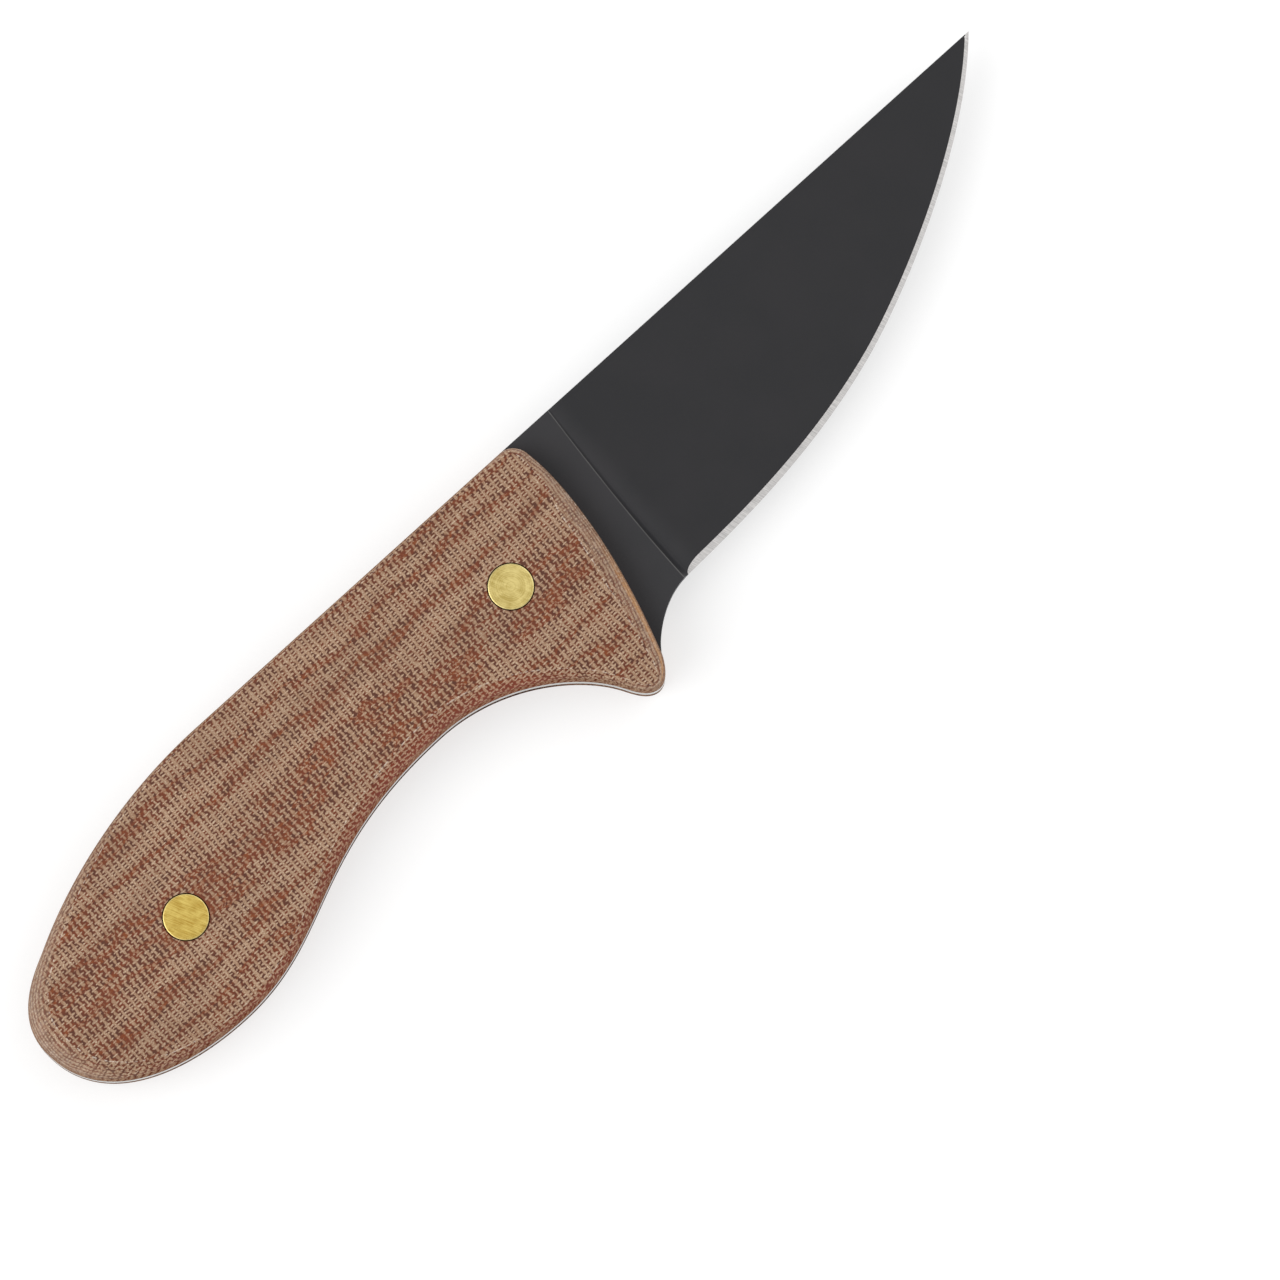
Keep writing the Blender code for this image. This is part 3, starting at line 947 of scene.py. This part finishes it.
def resin_colour(x, y, number, film, wet):
    """Red-brown resin: in dark and red patches, honey where its film is thin, deep red where wet."""
    patches = noise(triple(x / 3, y / 1.2, number), 2)
    resin = blend((patches + film * 0.3).ramp(-0.12, 0.2), srgb(83, 49, 37), srgb(107, 53, 32))
    resin = blend(wet * 0.7, resin, srgb(122, 52, 35))
    honey = film * noise(triple(x / 1.3, y / 0.7, number * 2), 1).ramp(-0.05, 0.18)
    return blend(honey * 0.6, resin, srgb(148, 82, 38))


def coated_steel():
    """Matte black coating: finely grained, a little uneven, with a painted highlight along the plunge's
    crest.
    """
    material, shader, (x, y, z) = new_material("black_coated_steel", 0, 0.16)
    flat = x.ramp(PLUNGE_AT_SPINE - 1, PLUNGE_AT_SPINE + 3)
    grain = noise(triple(x / 0.16, y / 0.16, z / 0.16), 3, 0.6)
    cloud = noise(triple(x / 9, y / 9, z / 9), 3)
    streak = noise(triple(x / 0.5, y / 6, z), 2)
    colour = blend(cloud.ramp(-0.2, 0.2), srgb(46, 46, 48), srgb(51, 50, 52))
    colour = blend(grain.ramp(-0.25, 0.25) * 0.25, colour, srgb(56, 56, 58))
    # Painted shade: the flat grind past the plunge is coloured darker than the ricasso.
    colour = blend(flat * 0.55, colour, srgb(30, 30, 32))
    # Painted highlight: a light line along the plunge's crest, where the ricasso rounds over into the
    # grind.
    share = (y / HEEL[1].y).larger(0).math("MINIMUM", 1)
    crest = x + (share * (math.pi / 2)).math("SINE") * PLUNGE_SWEEP - PLUNGE_AT_SPINE - 0.03
    crest_highlight = -(crest.size().ramp(0.03, 0.11)) + 1
    colour = blend(crest_highlight * (streak + 0.8), colour, srgb(92, 91, 90))
    rough = grain * 0.14 + cloud * 0.12 + streak * 0.05 + 0.5
    connect(shader, grain, 0.01, Base_Color=colour, Roughness=rough)
    return material


def ground_steel():
    """The bare edge bevel, with the fine lines of its grinding across it."""
    material, shader, (x, y, z) = new_material("ground_steel", 1, 0.5)
    lines = noise(triple((x + y * 0.35) / 0.07, y / 2.5, z), 2, 0.6)
    colour = blend(lines.ramp(-0.25, 0.25), srgb(180, 178, 177), srgb(224, 221, 219))
    connect(shader, lines, 0.006, Base_Color=colour, Roughness=lines * 0.2 + 0.36)
    return material


def bare_steel():
    """The bare edge of the tang, sanded along its length with the scales."""
    material, shader, (x, y, z) = new_material("bare_steel", 1, 0.5)
    lines = noise(triple(x / 1.5, y / 1.5, z / 0.05), 2, 0.6)
    blotch = noise(triple(x / 2, y / 2, z), 2)
    colour = blend(lines.ramp(-0.16, 0.16), srgb(150, 149, 148), srgb(216, 215, 213))
    rough = lines * 0.3 + blotch * 0.2 + 0.34
    connect(shader, lines, 0.006, Base_Color=colour, Roughness=rough)
    return material


def brass(name, centre, scratched):
    """Brass sanded flush with the scales: turning rings round the axis, or straight scratches."""
    material, shader, (x, y, z) = new_material(name, 1, 0.5)
    across, up = x - centre[0], y - centre[1]
    out = (across.squared() + up.squared()).math("SQRT")
    rings = noise(triple(out / 0.09, z * 0.2, 0.0), 2, 0.6) * 0.5
    scratches = noise(triple((x * 0.9 + y * 0.43) / 0.07, (y * 0.9 - x * 0.43) / 2.2, z), 3, 0.6)
    marks = scratches if scratched else rings + scratches * 0.5
    stain = noise(triple(x / 1.1, y / 1.1, z), 3)
    # Painted highlight: a light ring along the broken rim, all round the head.
    rim = out.ramp(BOLT_RADIUS - 0.22, BOLT_RADIUS - 0.08)
    light = srgb(200, 177, 98) if scratched else srgb(208, 191, 126)
    dark = srgb(168, 137, 60) if scratched else srgb(170, 149, 82)
    colour = blend((marks * 1.6 + stain * 0.8).ramp(-0.3, 0.3), dark, light)
    colour = blend(rim * 0.3, colour, srgb(232, 222, 170))
    rough = marks * 0.16 + stain * 0.12 + 0.36
    connect(shader, marks, 0.008, Base_Color=colour, Roughness=rough)
    return material


def floor_material():
    """Plain pale paper."""
    material, shader, (x, y, _) = new_material("pale_floor", 0, 0.2)
    tone = noise(triple(x / 60, y / 60, 0.0), 2)
    colour = blend(tone.ramp(-0.3, 0.3), (0.44, 0.44, 0.44), (0.46, 0.46, 0.46))
    connect(shader, tone, 0.01, Base_Color=colour, Roughness=tone * 0.05 + 0.8)
    shader.inputs["Emission Color"].default_value = (1, 1, 1, 1)
    shader.inputs["Emission Strength"].default_value = 0.55
    return material


# --- Stage ----------------------------------------------------------------------------------------

VIEW_HEADING = math.radians(42.14)  # how far the spine is turned from the picture's right
VIEW_TILT = math.radians(3.1)
VIEW_DISTANCE = 4.0  # metres
VIEW_CENTRE = (-89.23, -31.67, 0)
VIEW_HALF_WIDTH = 87.39
FLOOR_RADIUS = 6  # metres


def add_camera():
    """Far above the knife's right side, leaning a little towards the bottom of the picture."""
    right = Vector((math.cos(VIEW_HEADING), -math.sin(VIEW_HEADING), 0))
    up = Vector((math.sin(VIEW_HEADING), math.cos(VIEW_HEADING), 0))
    back = Vector((0, 0, 1)) * math.cos(VIEW_TILT) - up * math.sin(VIEW_TILT)
    camera = bpy.data.objects.new("camera", bpy.data.cameras.new("camera"))
    axes = Matrix((right, back.cross(right), back)).transposed()
    aim = world([VIEW_CENTRE])[0]
    camera.matrix_world = Matrix.Translation(aim + back * VIEW_DISTANCE) @ axes.to_4x4()
    camera.data.lens = camera.data.sensor_width / 2 * VIEW_DISTANCE / (VIEW_HALF_WIDTH * MM)
    camera.data.clip_start = 0.05
    camera.data.clip_end = 20
    bpy.context.scene.collection.objects.link(camera)
    bpy.context.scene.camera = camera


def add_light(name, picture_right, picture_up, height, size, power):
    """A large soft light, placed by where it stands from the camera's point of view, in metres."""
    right = Vector((math.cos(VIEW_HEADING), -math.sin(VIEW_HEADING), 0))
    up = Vector((math.sin(VIEW_HEADING), math.cos(VIEW_HEADING), 0))
    light = bpy.data.lights.new(name, "AREA")
    light.shape = "DISK"
    light.size = size
    light.energy = power
    lamp = bpy.data.objects.new(name, light)
    lamp.location = right * picture_right + up * picture_up + Vector((0, 0, height))
    lamp.rotation_mode = "QUATERNION"
    lamp.rotation_quaternion = lamp.location.to_track_quat("Z", "Y")
    bpy.context.scene.collection.objects.link(lamp)


def add_world():
    """Even white light from all round."""
    surroundings = bpy.data.worlds.new("studio")
    surroundings.use_nodes = True
    background = surroundings.node_tree.nodes["Background"]
    background.inputs["Color"].default_value = (1, 1, 1, 1)
    background.inputs["Strength"].default_value = 0.8
    bpy.context.scene.world = surroundings


def add_floor():
    """A broad round floor under the knife."""
    work = bmesh.new()
    bmesh.ops.create_circle(work, cap_ends=True, segments=96, radius=FLOOR_RADIUS)
    mesh = bpy.data.meshes.new("floor")
    work.to_mesh(mesh)
    work.free()
    mesh.materials.append(floor_material())
    floor = bpy.data.objects.new("floor", mesh)
    floor.location.z = CAD_BOX[0].z
    bpy.context.scene.collection.objects.link(floor)


# --- The knife ------------------------------------------------------------------------------------


def bolt_centre(node):
    """The middle of a bolt's box, in the drawing frame."""
    low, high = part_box(node)
    middle = (low + high) / 2 - ORIGIN
    return middle.x / MM, middle.y / MM


BOLTS = {place: bolt_centre(node) for place, node in BOLT_NODES.items()}
EDGE_PATH = sampled(EDGE, 0.2, False)


def add_knife():
    """The seven visible pieces, one for each CAD node."""
    steel = blade_mesh()
    finish_blade(steel)
    finishes = [coated_steel(), ground_steel(), bare_steel()]
    add_piece("blade_steel", steel, finishes, ["blade_and_tang"])
    face, wall = micarta("canvas_micarta", 0.15, 0), micarta("canvas_micarta_wall", 0, 0)
    # The left scale's wall is darkened with painted shade.
    shaded = micarta("canvas_micarta_painted_shade_wall", 0, 0.5)
    for name, node, side, slab in (
        ("scale_right", "right_scale", 1, (face, wall)),
        ("scale_left", "left_scale", -1, (face, shaded)),
    ):
        add_piece(name, scale_mesh(name, side), slab, [node])
    for place, centre in BOLTS.items():
        metal = brass(place + "_brass", centre, place == "rear")
        for name, shank, side in (
            ("stud", stud_shank(), 1),
            ("barrel", barrel_shank(), -1),
        ):
            piece_name = f"{place}_{name}"
            mesh = turned_mesh(piece_name, centre, shank, side)
            add_piece(piece_name, mesh, [metal], [f"{place}_bolt_{name}"])


add_knife()
add_world()
add_floor()
add_light("key", picture_right=-0.75, picture_up=-0.3, height=1.15, size=1.1, power=8)
add_light("fill", picture_right=0.6, picture_up=0.45, height=1.2, size=1.2, power=4)
add_camera()
bpy.context.scene.view_settings.view_transform = "Standard"
